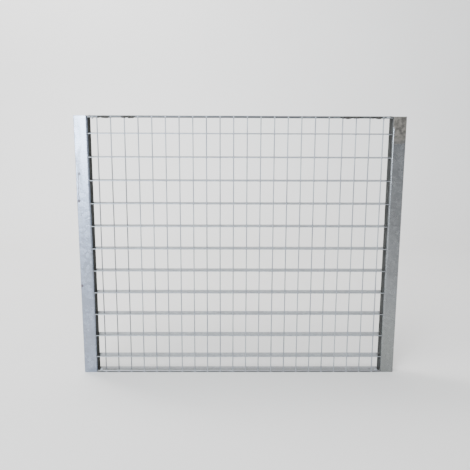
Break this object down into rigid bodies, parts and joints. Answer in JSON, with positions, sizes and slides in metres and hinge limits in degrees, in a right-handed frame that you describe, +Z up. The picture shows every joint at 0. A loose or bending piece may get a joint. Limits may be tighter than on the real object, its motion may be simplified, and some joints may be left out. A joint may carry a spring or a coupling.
{
  "type": "galvanised steel grid panel",
  "caption": "Rectangular galvanised steel grid panel of flat bars on edge crossed by round wires, between two angle rails with outward flanges that hang it on beams.",
  "frame": {"origin": "middle of the bottom of the panel's bounding box, the panel standing upright on its bottom edge", "axes": "+X across the panel to the right as seen from its face, +Z up along the cross wires; the face with the wires and flanges looks along -Y and the rails reach back along +Y"},
  "size_m": [1.22, 0.06, 1],
  "materials": {
    "rail_zinc": "hot-dip galvanised sheet, fine spangle, dull sheen",
    "bar_zinc": "hot-dip galvanised flat bar, dull grey",
    "wire_zinc": "hot-dip galvanised wire, dull grey"
  },
  "bodies": {
    "root": {"left_side_rail": "rail_zinc", "right_side_rail": "rail_zinc", "bottom_edge_bar": "bar_zinc", "top_edge_bar": "bar_zinc", "bearing_bar_01": "bar_zinc", "bearing_bar_02": "bar_zinc", "bearing_bar_03": "bar_zinc", "bearing_bar_04": "bar_zinc", "bearing_bar_05": "bar_zinc", "bearing_bar_06": "bar_zinc", "bearing_bar_07": "bar_zinc", "bearing_bar_08": "bar_zinc", "bearing_bar_09": "bar_zinc", "bearing_bar_10": "bar_zinc", "bearing_bar_11": "bar_zinc", "cross_wire_01": "wire_zinc", "cross_wire_02": "wire_zinc", "cross_wire_03": "wire_zinc", "cross_wire_04": "wire_zinc", "cross_wire_05": "wire_zinc", "cross_wire_06": "wire_zinc", "cross_wire_07": "wire_zinc", "cross_wire_08": "wire_zinc", "cross_wire_09": "wire_zinc", "cross_wire_10": "wire_zinc", "cross_wire_11": "wire_zinc", "cross_wire_12": "wire_zinc", "cross_wire_13": "wire_zinc", "cross_wire_14": "wire_zinc", "cross_wire_15": "wire_zinc", "cross_wire_16": "wire_zinc", "cross_wire_17": "wire_zinc", "cross_wire_18": "wire_zinc", "cross_wire_19": "wire_zinc", "cross_wire_20": "wire_zinc", "cross_wire_21": "wire_zinc", "cross_wire_22": "wire_zinc"}
  },
  "joints": []
}
